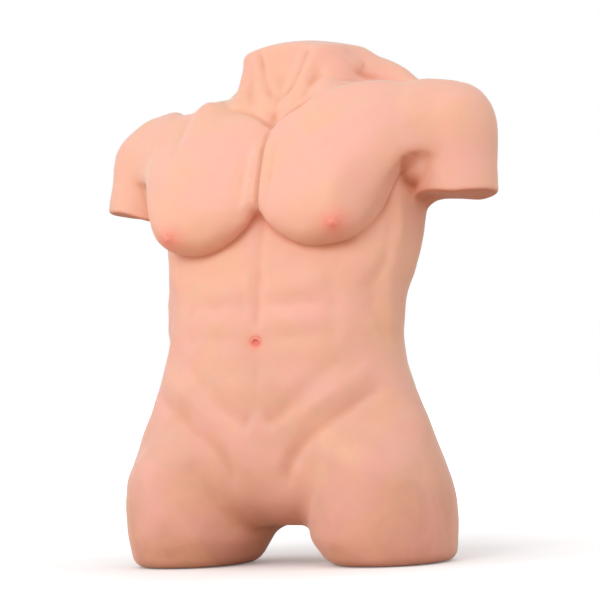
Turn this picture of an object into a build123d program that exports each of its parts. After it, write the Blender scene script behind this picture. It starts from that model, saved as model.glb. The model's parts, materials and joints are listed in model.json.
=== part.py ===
from build123d import *
import math
import os

# Headless male torso mannequin: soft elastomer skin over foam cores on a bolted steel frame.
# Frame: millimetres, +Z up, the front of the torso faces -Y, the figure's left side is +X.
# Origin of the written parts: on the resting plane, midway between the two flat thigh cuts
# and under the middle of the overall depth.
# The chest steel is modelled upright, then leaned back about the waist hinge.

# ------------------------------------------------------------------ driving dimensions
TOTAL_H = 598.0         # resting plane to the top of the neck stump
CENTRE_Y = 20.3         # middle of the overall depth; parts move forward by it when written
REST_Z = 0.0            # plane of the two thigh cuts
SKIN_T = 20.0           # elastomer wall between the outside and the foam core
SOFT_GAP = 0.5          # clearance between skin and foam, and between soft parts and steel
WAIST_LOW = 214.0       # seam between pelvis and waist
WAIST_HIGH = 276.0      # seam between waist and chest
SEAM_HALF = 0.25        # each soft solid stops this far from its seam
CORE_Z0, CORE_Z1 = 80.0, 500.0        # ends of the foam
CORE_ROW_Z0, CORE_ROW_Z1 = 72, 508    # trunk sections used for the foam

HINGE_Y = 10.0          # waist hinge axis, parallel to X; the upright steel shares this Y
HINGE_Z = 245.0
LEAN_DEG = 11.0         # backward slope of the chest post at rest

TUBE_OD = 25.0
TUBE_ID = 21.0
SPIGOT_R = 20.9 / 2     # solid spigots that enter the tubes
SPIGOT_L = 34.0
SOCKET_R = 25.1 / 2     # fitting sockets that take the tubes

# pelvis frame
THIGH_X = 116.0         # centre of each thigh post
PELVIS_BAR_Z = 112.0
PELVIS_BAR_HALF = THIGH_X - 17.0
LUMBAR_Z0 = PELVIS_BAR_Z + 17.0
LUMBAR_Z1 = HINGE_Z - 34.0
THIGH_POST_TOP = PELVIS_BAR_Z - 20.0

# foot and neck plates with their plugs and M8 bolts
PLATE_Z = 8.0           # underside of the foot plates
PLATE_T = 4.0
PLUG_H = 16.0
FOOT_PLATE_R = 42.0
FOOT_PLATE_Y = HINGE_Y - 6
NECK_PLATE_R = 32.0
M8_R = 4.0
M8_HOLE_R = 4.25
M8_FLATS = 13.0
M8_HEAD_T = 4.0
M8_SHANK = PLATE_T + PLUG_H - 2

# waist hinge
EYE_R = 16.0            # blade eye
BLADE_T = 12.0
EAR_R = 18.0            # fork ears
EAR_T = 8.0
BOLT_R = 5.0
BORE_R = 5.05
HINGE_FLATS = 17.0      # across the flats of bolt head and nut
HEAD_T = 6.4
NUT_T = 9.5
WASHER_T = 1.5
WASHER_GAP = 0.075      # play on each face of a friction washer
SPRING_T = 1.2
STACK_GAP = 0.05        # play between the parts stacked on the bolt
EAR_IN = BLADE_T / 2 + WASHER_T + 2 * WASHER_GAP
EAR_OUT = EAR_IN + EAR_T
BOLT_X0 = -EAR_OUT - STACK_GAP        # under the bolt head
SPRING_X = EAR_OUT + STACK_GAP
SPRING_PITCH = SPRING_T + STACK_GAP
NUT_X = SPRING_X + 2 * SPRING_PITCH + STACK_GAP

# chest frame, heights as it stands upright
BLADE_BASE_R = 15.0
BLADE_BASE_Z0 = HINGE_Z + 25.0
BLADE_BASE_Z1 = HINGE_Z + 33.0
SHOULDER_Z = HINGE_Z + 230.0
SHOULDER_BAR_HALF = 152.0
CROSS_TUBE_STOP = 15.0  # shoulder bar axis to the facing ends of chest and neck posts
CHEST_POST_TOP = SHOULDER_Z - CROSS_TUBE_STOP
NECK_Z0 = SHOULDER_Z + CROSS_TUBE_STOP
NECK_Z1 = HINGE_Z + 326.0             # underside of the neck plate
CAP_R = 18.0
CAP_GRIP = 22.0         # length of bar inside the rubber cap
CAP_END = 4.0           # bar end to the centre of the cap's dome

# Trunk sections: z, half width, centre y, front half depth, back half depth, squareness
TRUNK = [
    (46.0, 132.0, -9.0, 58.0, 90.0, 2.4),
    (72.0, 170.0, -12.0, 70.0, 98.0, 2.4),
    (100.0, 186.0, -16.0, 74.0, 102.0, 2.4),
    (125.0, 184.0, -18.0, 73.0, 104.0, 2.35),
    (150.0, 175.0, -18.0, 72.0, 102.0, 2.3),
    (175.0, 165.0, -15.0, 73.0, 96.0, 2.3),
    (200.0, 154.0, -13.0, 74.0, 91.0, 2.3),
    (222.0, 146.0, -11.0, 74.0, 89.0, 2.3),
    (245.0, 140.0, -7.0, 76.0, 86.0, 2.35),
    (270.0, 139.0, -2.0, 78.0, 86.0, 2.4),
    (300.0, 140.0, 8.0, 83.0, 84.0, 2.45),
    (330.0, 145.0, 16.0, 85.0, 86.0, 2.5),
    (352.0, 150.0, 21.0, 89.0, 90.0, 2.5),
    (376.0, 154.0, 27.0, 108.0, 94.0, 2.5),
    (400.0, 158.0, 33.0, 114.0, 97.0, 2.5),
    (440.0, 158.0, 45.0, 112.0, 96.0, 2.5),
    (480.0, 150.0, 55.0, 92.0, 84.0, 2.45),
    (505.0, 126.0, 61.0, 74.0, 74.0, 2.4),
    (530.0, 94.0, 67.0, 62.0, 66.0, 2.2),
    (560.0, 66.0, 73.0, 55.0, 60.0, 2.05),
    (TOTAL_H, 62.0, 77.0, 55.0, 57.0, 2.0),
]
# Limb stump sections: z, centre x, half width, centre y, half depth
THIGH = [
    (REST_Z, 122.0, 67.0, -6.0, 83.0),
    (12.0, 119.0, 73.0, -7.0, 86.0),
    (27.0, 115.0, 78.5, -8.0, 88.0),
    (50.0, 114.0, 80.5, -9.0, 90.0),
    (80.0, 113.0, 80.0, -12.0, 89.0),
    (100.0, 111.0, 77.5, -15.0, 86.0),
    (125.0, 103.0, 72.0, -17.0, 80.0),
    (150.0, 90.0, 58.0, -15.0, 64.0),
]
ARM = [
    (403.0, 197.0, 45.0, 46.0, 45.0),
    (430.0, 193.0, 47.5, 52.0, 47.5),
    (455.0, 188.0, 50.0, 57.0, 50.0),
    (474.0, 182.0, 54.0, 61.0, 54.0),
    (490.0, 177.0, 55.0, 62.0, 53.0),
    (508.0, 174.0, 47.0, 62.0, 44.0),
    (521.0, 172.0, 31.0, 62.0, 29.0),
    (528.0, 170.0, 12.0, 62.0, 12.0),
]
LIMB_SQUARENESS = 2.2


# ------------------------------------------------------------------ helpers
def ring(z, centre_x, half_width, centre_y, front, back, squareness, count=28):
    """Closed smooth superellipse section in a horizontal plane."""
    points = []
    for i in range(count):
        angle = 2 * math.pi * (i + 0.5) / count
        c, s = math.cos(angle), math.sin(angle)
        depth = back if s > 0 else front
        x = half_width * math.copysign(abs(c) ** (2 / squareness), c)
        y = depth * math.copysign(abs(s) ** (2 / squareness), s)
        points.append(Vector(centre_x + x, centre_y + y, z))
    return Wire([Edge.make_spline(points, periodic=True)])


def trunk_loft(rows, inset=0.0):
    return Solid.make_loft([
        ring(z, 0, half_width - inset, centre_y, front - inset, back - inset, squareness)
        for z, half_width, centre_y, front, back, squareness in rows
    ])


def limb_loft(rows, side):
    return Solid.make_loft([
        ring(z, side * centre_x, half_width, centre_y, depth, depth, LIMB_SQUARENESS)
        for z, centre_x, half_width, centre_y, depth in rows
    ])


def rod_x(radius, x0, length, z=HINGE_Z, side=1):
    """Cylinder from x0, running towards +X, or towards -X when side is -1."""
    plane = Plane(origin=(x0, HINGE_Y, z), z_dir=(side, 0, 0))
    return Solid.make_cylinder(radius, length, plane)


def rod_z(radius, z0, length, x=0, y=HINGE_Y):
    """Cylinder from z0 upwards."""
    return Solid.make_cylinder(radius, length, Plane(origin=(x, y, z0), z_dir=(0, 0, 1)))


def tube(rod, *place):
    return rod(TUBE_OD / 2, *place) - rod(TUBE_ID / 2, *place)


def box(x0, x1, y0, y1, z0, z1):
    return Pos((x0 + x1) / 2, (y0 + y1) / 2, (z0 + z1) / 2) * Box(x1 - x0, y1 - y0, z1 - z0)


def block(half_x, half_y, z0, z1, x=0, gap=0):
    """Box centred on the frame's Y, grown by gap on every face."""
    half_x += gap
    half_y += gap
    return box(x - half_x, x + half_x, HINGE_Y - half_y, HINGE_Y + half_y, z0 - gap, z1 + gap)


def round_uprights(shape, radius):
    return fillet(shape.edges().filter_by(Axis.Z), radius)


def slab(z0, z1):
    """Horizontal slice wider than the torso."""
    return box(-320, 320, -260, 320, z0, z1)


def hex_prism(plane, flats, thick):
    return extrude(plane * RegularPolygon(flats / math.sqrt(3), 6), thick)


def hinge_hex(thick, x0):
    """Hexagonal prism on the hinge axis, from x0 towards +X."""
    plane = Plane(origin=(x0, HINGE_Y, HINGE_Z), x_dir=(0, 1, 0), z_dir=(1, 0, 0))
    return hex_prism(plane, HINGE_FLATS, thick)


def hinge_ring(radius, hole_radius, thick, x0):
    return rod_x(radius, x0, thick) - rod_x(hole_radius, x0 - 1, thick + 2)


def m8_bolt(head_z, shank_z, x=0):
    plane = Plane(origin=(x, HINGE_Y, head_z), z_dir=(0, 0, 1))
    return hex_prism(plane, M8_FLATS, M8_HEAD_T) + rod_z(M8_R, shank_z, M8_SHANK, x)


def lean(shape):
    """Turns an upright chest part back about the hinge axis to its rest slope."""
    return shape.rotate(Axis((0, HINGE_Y, HINGE_Z), (1, 0, 0)), -LEAN_DEG)


def cut(shape, tools):
    for tool in tools:
        shape -= tool
    return shape


# ------------------------------------------------------------------ steel frame, pelvis side
def tee_block(gap=0):
    return block(22, 20, PELVIS_BAR_Z - 19, PELVIS_BAR_Z + 40, gap=gap)


def pelvis_tee():
    """Tee in the middle of the pelvis bar, carrying the lumbar post."""
    tee = round_uprights(tee_block(), 4)
    tee -= rod_x(SOCKET_R, -30, 60, PELVIS_BAR_Z)
    tee -= rod_z(SOCKET_R, PELVIS_BAR_Z + 16, 40)
    return tee


def elbow_block(side, gap=0):
    return block(19, 18, PELVIS_BAR_Z - 40, PELVIS_BAR_Z + 18, side * THIGH_X, gap)


def hip_elbow(side):
    """Joins an end of the pelvis bar to the thigh post below it."""
    elbow = round_uprights(elbow_block(side), 5)
    elbow -= rod_x(SOCKET_R, side * (THIGH_X - 25), 21.2, PELVIS_BAR_Z, side)
    elbow -= rod_z(SOCKET_R, PELVIS_BAR_Z - 45, 45 - 19, side * THIGH_X)
    return elbow


def thigh_post(side):
    z0 = PLATE_Z + PLATE_T
    return tube(rod_z, z0, THIGH_POST_TOP - z0, side * THIGH_X)


def thigh_plate(side):
    """Round foot plate with a bored plug that stands inside the post."""
    x = side * THIGH_X
    plate = rod_z(FOOT_PLATE_R, PLATE_Z, PLATE_T, x, FOOT_PLATE_Y)
    plate += rod_z(SPIGOT_R, PLATE_Z + PLATE_T, PLUG_H, x)
    plate -= rod_z(M8_HOLE_R, PLATE_Z - 1, PLUG_H + PLATE_T + 2, x)
    return plate


def thigh_bolt(side):
    return m8_bolt(PLATE_Z - M8_HEAD_T, PLATE_Z, side * THIGH_X)


# ------------------------------------------------------------------ waist hinge
def hinge_fork():
    """Two ears on a block, with a spigot down into the lumbar post."""
    fork = block(EAR_OUT, EAR_R, LUMBAR_Z1, HINGE_Z)
    fork += rod_x(EAR_R, -EAR_OUT, 2 * EAR_OUT)
    fork -= block(EAR_IN, 30, HINGE_Z - 24, HINGE_Z + 30)
    # the spigot runs 2 mm into the block
    fork += rod_z(SPIGOT_R, LUMBAR_Z1 - SPIGOT_L, SPIGOT_L + 2)
    fork -= rod_x(BORE_R, -40, 80)
    return fork


def hinge_blade():
    """Eye on a flat blade, with a round base and a spigot up into the chest post."""
    blade = block(BLADE_T / 2, 12, HINGE_Z, BLADE_BASE_Z0 + 2)
    blade += rod_x(EYE_R, -BLADE_T / 2, BLADE_T)
    blade += rod_z(BLADE_BASE_R, BLADE_BASE_Z0, BLADE_BASE_Z1 - BLADE_BASE_Z0)
    blade += rod_z(SPIGOT_R, BLADE_BASE_Z1, SPIGOT_L)
    blade -= rod_x(BORE_R, -20, 40)
    return lean(blade)


def hinge_bolt():
    """Pivot bolt, head on the figure's right; its end stands 3 mm out of the nut."""
    shank = rod_x(BOLT_R, BOLT_X0, NUT_X + NUT_T + 3 - BOLT_X0)
    return hinge_hex(HEAD_T, BOLT_X0 - HEAD_T) + shank


def hinge_nut():
    return hinge_hex(NUT_T, NUT_X) - rod_x(BORE_R, NUT_X - 1, NUT_T + 2)


def disc_springs():
    """Two flat rings between the left ear and the nut."""
    return Compound(children=[
        hinge_ring(10.0, 5.1, SPRING_T, SPRING_X + i * SPRING_PITCH) for i in range(2)
    ])


def friction_washers():
    """One washer in each gap between the blade and the ears."""
    inner = BLADE_T / 2 + WASHER_GAP
    return Compound(children=[
        hinge_ring(14.0, 5.2, WASHER_T, x0) for x0 in (-(inner + WASHER_T), inner)
    ])


# ------------------------------------------------------------------ steel frame, chest side
def chest_post():
    z0 = BLADE_BASE_Z1 + 0.1
    return lean(tube(rod_z, z0, CHEST_POST_TOP - z0))


def cross_block(gap=0):
    return block(23, 20, SHOULDER_Z - 38, SHOULDER_Z + 38, gap=gap)


def shoulder_cross():
    """Four-way fitting for the chest post, shoulder bar and neck post."""
    socket_stop = CROSS_TUBE_STOP - 0.2
    cross = round_uprights(cross_block(), 4)
    cross -= rod_x(SOCKET_R, -30, 60, SHOULDER_Z)
    cross -= rod_z(SOCKET_R, SHOULDER_Z - 45, 45 - socket_stop)
    cross -= rod_z(SOCKET_R, SHOULDER_Z + socket_stop, 40)
    return lean(cross)


def shoulder_cap(side):
    """Rubber dome over the end of the shoulder bar, so that the tube can't cut the skin."""
    x0 = side * (SHOULDER_BAR_HALF - CAP_GRIP)
    cap = rod_x(CAP_R, x0, CAP_GRIP + CAP_END, SHOULDER_Z, side)
    cap += Pos(side * (SHOULDER_BAR_HALF + CAP_END), HINGE_Y, SHOULDER_Z) * Sphere(CAP_R)
    cap -= rod_x(TUBE_OD / 2 + 0.05, x0 - side, 1 + CAP_GRIP + 0.1, SHOULDER_Z, side)
    return lean(cap)


def neck_plate():
    """Round plate with a bored plug that hangs inside the neck post."""
    plate = rod_z(NECK_PLATE_R, NECK_Z1, PLATE_T) + rod_z(SPIGOT_R, NECK_Z1 - PLUG_H, PLUG_H)
    plate -= rod_z(M8_HOLE_R, NECK_Z1 - 20, 30)
    return lean(plate)


def neck_bolt():
    head_z = NECK_Z1 + PLATE_T
    return lean(m8_bolt(head_z, head_z - M8_SHANK))


# ------------------------------------------------------------------ room for the steel
TUBE_ROOM_R = TUBE_OD / 2 + SOFT_GAP
HEAD_ROOM_R = M8_FLATS / math.sqrt(3) + SOFT_GAP
PLATE_ROOM_T = PLATE_T + 2 * SOFT_GAP


def pelvis_room():
    """Solids to cut from the soft pelvis parts."""
    room = [
        rod_x(TUBE_ROOM_R, -PELVIS_BAR_HALF - 1, 2 * (PELVIS_BAR_HALF + 1), PELVIS_BAR_Z),
        tee_block(SOFT_GAP),
        rod_z(TUBE_ROOM_R, LUMBAR_Z0, LUMBAR_Z1 - LUMBAR_Z0),
        block(EAR_OUT + SOFT_GAP, EAR_R + SOFT_GAP, LUMBAR_Z1 - SOFT_GAP, HINGE_Z),
    ]
    for side in (-1, 1):
        x = side * THIGH_X
        room += [
            elbow_block(side, SOFT_GAP),
            rod_z(TUBE_ROOM_R, PLATE_Z, THIGH_POST_TOP - PLATE_Z, x),
            rod_z(FOOT_PLATE_R + SOFT_GAP, PLATE_Z - SOFT_GAP, PLATE_ROOM_T, x, FOOT_PLATE_Y),
            rod_z(HEAD_ROOM_R, PLATE_Z - M8_HEAD_T - SOFT_GAP, 6, x),
        ]
    return room


def chest_room():
    """Solids to cut from the soft chest parts."""
    post_z0 = HINGE_Z + 15
    cap_tip = SHOULDER_BAR_HALF + CAP_END + CAP_R
    return [lean(shape) for shape in (
        rod_z(BLADE_BASE_R + SOFT_GAP, post_z0, CHEST_POST_TOP - post_z0),
        cross_block(SOFT_GAP),
        rod_x(CAP_R + SOFT_GAP, -cap_tip, 2 * cap_tip, SHOULDER_Z),
        rod_z(TUBE_ROOM_R, NECK_Z0, NECK_Z1 - NECK_Z0),
        rod_z(NECK_PLATE_R + SOFT_GAP, NECK_Z1 - SOFT_GAP, PLATE_ROOM_T),
        rod_z(HEAD_ROOM_R, NECK_Z1, PLATE_T + M8_HEAD_T + SOFT_GAP),
    )]


# ------------------------------------------------------------------ soft solids
def soft_parts():
    """Skins and foam cores of the pelvis, waist and chest, by name."""
    low_room, high_room = pelvis_room(), chest_room()
    # room in the foam around the hinge for its whole travel
    hinge_room = box(-34, 38, HINGE_Y - 30, HINGE_Y + 40, WAIST_LOW - 8, WAIST_HIGH + 10)
    waist = slab(WAIST_LOW + SEAM_HALF, WAIST_HIGH - SEAM_HALF)

    trunk = trunk_loft(TRUNK)
    outer_low = trunk & slab(REST_Z, WAIST_LOW - SEAM_HALF)
    outer_high = trunk & slab(WAIST_HIGH + SEAM_HALF, TOTAL_H + 10)
    for side in (-1, 1):
        outer_low += limb_loft(THIGH, side)
        outer_high += limb_loft(ARM, side)

    core_rows = [row for row in TRUNK if CORE_ROW_Z0 <= row[0] <= CORE_ROW_Z1]
    core = trunk_loft(core_rows, SKIN_T)
    # the skin's cavity is closed at both ends and runs 5 mm past each seam
    cavity = trunk_loft(core_rows, SKIN_T - SOFT_GAP)
    cavity_low = cavity & slab(CORE_Z0 - SOFT_GAP, WAIST_LOW + 5)
    cavity_mid = cavity & slab(WAIST_LOW - 5, WAIST_HIGH + 5)
    cavity_high = cavity & slab(WAIST_HIGH - 5, CORE_Z1 + SOFT_GAP)

    foam_low = core & slab(CORE_Z0, WAIST_LOW - SEAM_HALF)
    foam_high = core & slab(WAIST_HIGH + SEAM_HALF, CORE_Z1)
    return {
        "skin_pelvis": cut(outer_low - cavity_low, low_room),
        "skin_waist": (trunk & waist) - cavity_mid,
        "skin_chest": cut(outer_high - cavity_high, high_room),
        "foam_core_pelvis": cut(foam_low, low_room + [hinge_room]),
        "foam_core_waist": (core & waist) - hinge_room,
        "foam_core_chest": cut(foam_high, high_room + [hinge_room]),
    }


# ------------------------------------------------------------------ export
def save(shape, name):
    """Writes the part, leaving out slivers of 50 cubic mm or less."""
    solids = [solid for solid in shape.solids() if solid.volume > 50.0]
    part = solids[0] if len(solids) == 1 else Compound(children=solids)
    part = Pos(0, -CENTRE_Y, 0) * part
    part.label = name
    export_step(part, "parts/" + name + ".step")


parts = soft_parts()
parts |= {
    "pelvis_crossbar": tube(rod_x, -PELVIS_BAR_HALF, 2 * PELVIS_BAR_HALF, PELVIS_BAR_Z),
    "pelvis_tee": pelvis_tee(),
    "lumbar_post": tube(rod_z, LUMBAR_Z0, LUMBAR_Z1 - LUMBAR_Z0),
    "hinge_fork": hinge_fork(),
    "hinge_blade": hinge_blade(),
    "hinge_bolt": hinge_bolt(),
    "hinge_nut": hinge_nut(),
    "disc_springs": disc_springs(),
    "friction_washers": friction_washers(),
    "chest_post": chest_post(),
    "shoulder_cross": shoulder_cross(),
    "shoulder_crossbar": lean(
        tube(rod_x, -SHOULDER_BAR_HALF, 2 * SHOULDER_BAR_HALF, SHOULDER_Z)
    ),
    "neck_post": lean(tube(rod_z, NECK_Z0, NECK_Z1 - NECK_Z0)),
    "neck_plate": neck_plate(),
    "neck_plate_bolt": neck_bolt(),
}
for side_name, side in (("left", 1), ("right", -1)):
    parts |= {
        "hip_elbow_" + side_name: hip_elbow(side),
        "thigh_post_" + side_name: thigh_post(side),
        "thigh_plate_" + side_name: thigh_plate(side),
        "thigh_plate_bolt_" + side_name: thigh_bolt(side),
        "shoulder_cap_" + side_name: shoulder_cap(side),
    }

os.makedirs("parts", exist_ok=True)
for name, shape in parts.items():
    save(shape, name)
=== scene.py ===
# Soft torso mannequin built round a steel frame: cut thighs on the floor, neck stump at the top,
# +Z up. The figure faces -Y and its left side is +X. The body is sculpted in millimetres in a
# drawing frame, whose y is shifted from the product's, and turned into metres for the meshes.
import json
import math

import bmesh
import bpy
import numpy as np
from mathutils import Matrix, Vector


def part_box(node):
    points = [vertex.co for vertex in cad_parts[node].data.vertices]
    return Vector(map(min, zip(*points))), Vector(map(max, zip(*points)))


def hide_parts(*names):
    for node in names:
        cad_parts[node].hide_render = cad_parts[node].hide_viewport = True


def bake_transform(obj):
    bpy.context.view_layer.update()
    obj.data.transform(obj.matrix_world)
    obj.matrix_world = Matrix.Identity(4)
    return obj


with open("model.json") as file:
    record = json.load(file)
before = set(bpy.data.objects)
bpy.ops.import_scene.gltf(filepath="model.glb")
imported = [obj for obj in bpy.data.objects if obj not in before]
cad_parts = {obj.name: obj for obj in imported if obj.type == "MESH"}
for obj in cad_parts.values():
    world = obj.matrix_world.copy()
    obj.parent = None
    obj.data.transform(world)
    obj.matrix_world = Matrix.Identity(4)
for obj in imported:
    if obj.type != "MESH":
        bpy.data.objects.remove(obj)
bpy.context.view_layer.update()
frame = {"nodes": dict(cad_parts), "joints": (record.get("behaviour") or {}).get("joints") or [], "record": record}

HINGE = frame["joints"][0]["pos_m"]
DRAWN_HINGE_Y = 10.0                          # the hinge axis in the drawing, mm
SHIFT_Y = DRAWN_HINGE_Y / 1000.0 - HINGE[1]   # drawing y less product y, m
SKIN_STEP = 2.1        # grid steps of the three surfaces, mm
CAVITY_STEP = 6.0
FOAM_STEP = 4.7
COARSE = 4                                    # fine grid steps in a coarse one


# ---------------------------------------------------------------------------------------------
# Sculpting kit: signed distances in millimetres, negative inside
# ---------------------------------------------------------------------------------------------
def soft_min(first, second, blend):
    share = np.clip(0.5 + 0.5 * (second - first) / blend, 0.0, 1.0)
    return second + (first - second) * share - blend * share * (1.0 - share)


def soft_max(first, second, blend):
    return -soft_min(-first, -second, blend)


def rise(x, low, high):
    """0 below low, 1 above high, smooth between."""
    part = np.clip((x - low) / (high - low), 0.0, 1.0)
    return part * part * (3.0 - 2.0 * part)


def fall(x, low, high):
    return 1.0 - rise(x, low, high)


def bell(x, centre, width):
    return np.exp(-((x - centre) / width) ** 2)


def blob(points, centre, radii):
    """Bell in three directions."""
    scaled = (points - np.array(centre, float)) / np.array(radii, float)
    return np.exp(-(scaled * scaled).sum(1))


def rotation(turn):
    """Matrix that turns about x, then y, then z, by degrees."""
    matrix = np.eye(3)
    for axis, degrees in enumerate(turn):
        i, j = (axis + 1) % 3, (axis + 2) % 3
        cos, sin = math.cos(math.radians(degrees)), math.sin(math.radians(degrees))
        single = np.eye(3)
        single[i, i] = single[j, j] = cos
        single[i, j], single[j, i] = -sin, sin
        matrix = single @ matrix
    return matrix


def ellipsoid(points, centre, radii, turn=(0, 0, 0)):
    """Near enough a distance close to the surface."""
    local = (points - np.array(centre, float)) @ rotation(turn)
    radii = np.array(radii, float)
    reach = np.linalg.norm(local / radii, axis=1)
    slope = np.linalg.norm(local / (radii * radii), axis=1)
    return reach * (reach - 1.0) / np.maximum(slope, 1e-9)


def capsule(points, start, end, start_radius, end_radius):
    start, end = np.array(start, float), np.array(end, float)
    axis = end - start
    local = points - start
    part = np.clip(local @ axis / (axis @ axis), 0.0, 1.0)
    away = np.linalg.norm(local - part[:, None] * axis, axis=1)
    return away - (start_radius + (end_radius - start_radius) * part)


def box(points, lo, hi):
    centre, half = (np.array(lo) + np.array(hi)) / 2.0, (np.array(hi) - np.array(lo)) / 2.0
    over = np.abs(points - centre) - half
    return np.linalg.norm(np.maximum(over, 0.0), axis=1) + np.minimum(over.max(1), 0.0)


def curve_distance(points, path):
    """Distance to a polyline, and how far along it (0 to 1) the nearest place lies."""
    path = np.array(path, float)
    lengths = np.linalg.norm(np.diff(path, axis=0), axis=1)
    best = np.full(len(points), 1e9)
    along = np.zeros(len(points))
    run = 0.0
    for start, end, length in zip(path[:-1], path[1:], lengths):
        span = end - start
        part = np.clip((points - start) @ span / (span @ span), 0.0, 1.0)
        away = np.linalg.norm(points - start - part[:, None] * span, axis=1)
        closer = away < best
        best = np.where(closer, away, best)
        along = np.where(closer, (run + part * length) / lengths.sum(), along)
        run += length
    return best, along


def spline_point(before, start, end, after, part):
    """Catmull-Rom point between start and end."""
    return 0.5 * (
        2 * start + (end - before) * part
        + (2 * before - 5 * start + 4 * end - after) * part * part
        + (3 * start - before - 3 * end + after) * part ** 3
    )


def smooth_path(path, steps=24):
    """Open smooth curve through the given points, with about that many steps in all."""
    path = np.array(path, float)
    path = np.vstack([2 * path[0] - path[1], path, 2 * path[-1] - path[-2]])
    spans = len(path) - 3
    per_span = max(2, steps // spans)
    curve = [spline_point(*path[i:i + 4], j / per_span)
             for i in range(spans) for j in range(per_span)]
    return np.array(curve + [path[-2]])


def closed_path(path, per_span):
    path = np.array(path, float)
    count = len(path)
    return np.array([
        spline_point(path[i - 1], path[i], path[(i + 1) % count], path[(i + 2) % count],
                     j / per_span)
        for i in range(count) for j in range(per_span)
    ])


def fade(along, head, tail):
    """1 along the middle of a curve, easing to 0 over the head and tail."""
    return rise(along, 0.0, head) * rise(1.0 - along, 0.0, tail)


def crease(points, depth, width, head, tail, steps, path):
    """How far a crease along the path pushes the surface in."""
    path = smooth_path(path, steps)
    lo, hi = path.min(0) - 3.2 * width, path.max(0) + 3.2 * width
    push = np.zeros(len(points))
    near = np.all((points > lo) & (points < hi), axis=1)
    if near.any():
        dist, along = curve_distance(points[near], path)
        push[near] = depth * bell(dist, 0, width) * fade(along, head, tail)
    return push


def cubic(stations, values, wanted):
    """Smooth interpolation of the rows of values, given at the stations."""
    i = np.clip(np.searchsorted(stations, wanted) - 1, 0, len(stations) - 2)
    gap = stations[i + 1] - stations[i]
    part = np.clip((wanted - stations[i]) / gap, 0.0, 1.0)[:, None]
    gap = gap[:, None]
    slope = np.gradient(values, stations, axis=0)
    return (
        (2 * part ** 3 - 3 * part ** 2 + 1) * values[i]
        + (part ** 3 - 2 * part ** 2 + part) * gap * slope[i]
        + (-2 * part ** 3 + 3 * part ** 2) * values[i + 1]
        + (part ** 3 - part ** 2) * gap * slope[i + 1]
    )


def section(x, y, half_width, half_depth, power):
    """Distance to a superellipse of the given squareness."""
    level = ((np.abs(x) / half_width) ** power + (np.abs(y) / half_depth) ** power) ** (1.0 / power)
    reach = np.sqrt(x * x + y * y)
    return np.where(level > 1e-6, reach * (1.0 - 1.0 / np.maximum(level, 1e-6)),
                    -np.minimum(half_width, half_depth))


class Form:
    """A distance field built up piece by piece, each only where it can matter."""

    def __init__(self, points, dist):
        self.points, self.dist = points, dist

    def near(self, lo, hi, margin):
        lo, hi = np.array(lo) - margin - 4.0, np.array(hi) + margin + 4.0
        return np.all((self.points > lo) & (self.points < hi), axis=1)

    def put(self, where, dist, blend):
        self.dist[where] = soft_min(self.dist[where], dist, blend)

    def ellipsoid(self, centre, radii, blend, turn=(0, 0, 0)):
        centre, reach = np.array(centre, float), np.max(radii)
        near = self.near(centre - reach, centre + reach, blend)
        self.put(near, ellipsoid(self.points[near], centre, radii, turn), blend)

    def capsule(self, start, end, start_radius, end_radius, blend):
        reach = max(start_radius, end_radius)
        near = self.near(np.minimum(start, end) - reach, np.maximum(start, end) + reach, blend)
        dist = capsule(self.points[near], start, end, start_radius, end_radius)
        self.put(near, dist, blend)

    def tube(self, path, start_radius, end_radius, blend):
        path = smooth_path(path, 30)
        reach = max(start_radius, end_radius)
        near = self.near(path.min(0) - reach, path.max(0) + reach, blend)
        dist, along = curve_distance(self.points[near], path)
        self.put(near, dist - (start_radius + (end_radius - start_radius) * along), blend)


# ---------------------------------------------------------------------------------------------
# Trunk and thigh sections, mm
# ---------------------------------------------------------------------------------------------
# z, half width, centre y, front half depth, back half depth, squareness
TRUNK = np.array([
    (20, 100, -6, 34, 78, 2.3), (45, 132, -9, 48, 90, 2.35), (72, 162, -14, 61, 100, 2.35),
    (100, 179, -18, 68, 106, 2.4), (125, 179, -20, 69, 108, 2.35), (150, 173, -19, 70, 104, 2.3),
    (175, 162, -15, 73, 96, 2.3), (200, 152, -13, 74, 91, 2.3), (222, 145, -11, 73, 89, 2.3),
    (245, 140, -7, 76, 86, 2.35), (270, 139, -2, 78, 84, 2.4), (300, 140, 8, 83, 81, 2.45),
    (325, 144, 15, 85, 82, 2.5), (353, 146, 21, 84, 84, 2.5), (380, 147, 28, 85, 86, 2.5),
    (400, 148, 33, 87, 87, 2.5), (440, 150, 46, 86, 84, 2.5), (480, 139, 56, 76, 76, 2.45),
    (505, 122, 62, 71, 68, 2.4), (530, 92, 68, 60, 62, 2.2), (548, 72, 71, 55, 59, 2.1),
    (565, 64, 74, 54, 58, 2.05), (620, 60, 80, 54, 56, 2.0),
], float)

# z, centre x, half width, centre y, half depth
THIGH = np.array([
    (-20, 125, 60, -5, 64), (0, 122, 67, -5, 74), (12, 119, 73, -6, 80), (27, 115, 78.5, -7.5, 86),
    (50, 114, 80.5, -9, 90), (80, 113, 80, -12, 89), (100, 111, 77.5, -15, 86),
    (125, 103, 72, -17, 81), (150, 90, 62, -15, 72), (180, 70, 44, -12, 52),
    (212, 46, 16, -10, 18),
], float)
THIGH_POWER = 2.15                            # squareness


def trunk(points):
    half_width, middle, front, back, power = cubic(TRUNK[:, 0], TRUNK[:, 1:], points[:, 2]).T
    y = points[:, 1] - middle
    return section(points[:, 0], y, half_width, np.where(y > 0, back, front), power)


def thigh(points):
    middle_x, half_width, middle_y, half_depth = cubic(THIGH[:, 0], THIGH[:, 1:], points[:, 2]).T
    return section(points[:, 0] - middle_x, points[:, 1] - middle_y, half_width, half_depth,
                   THIGH_POWER)


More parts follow.
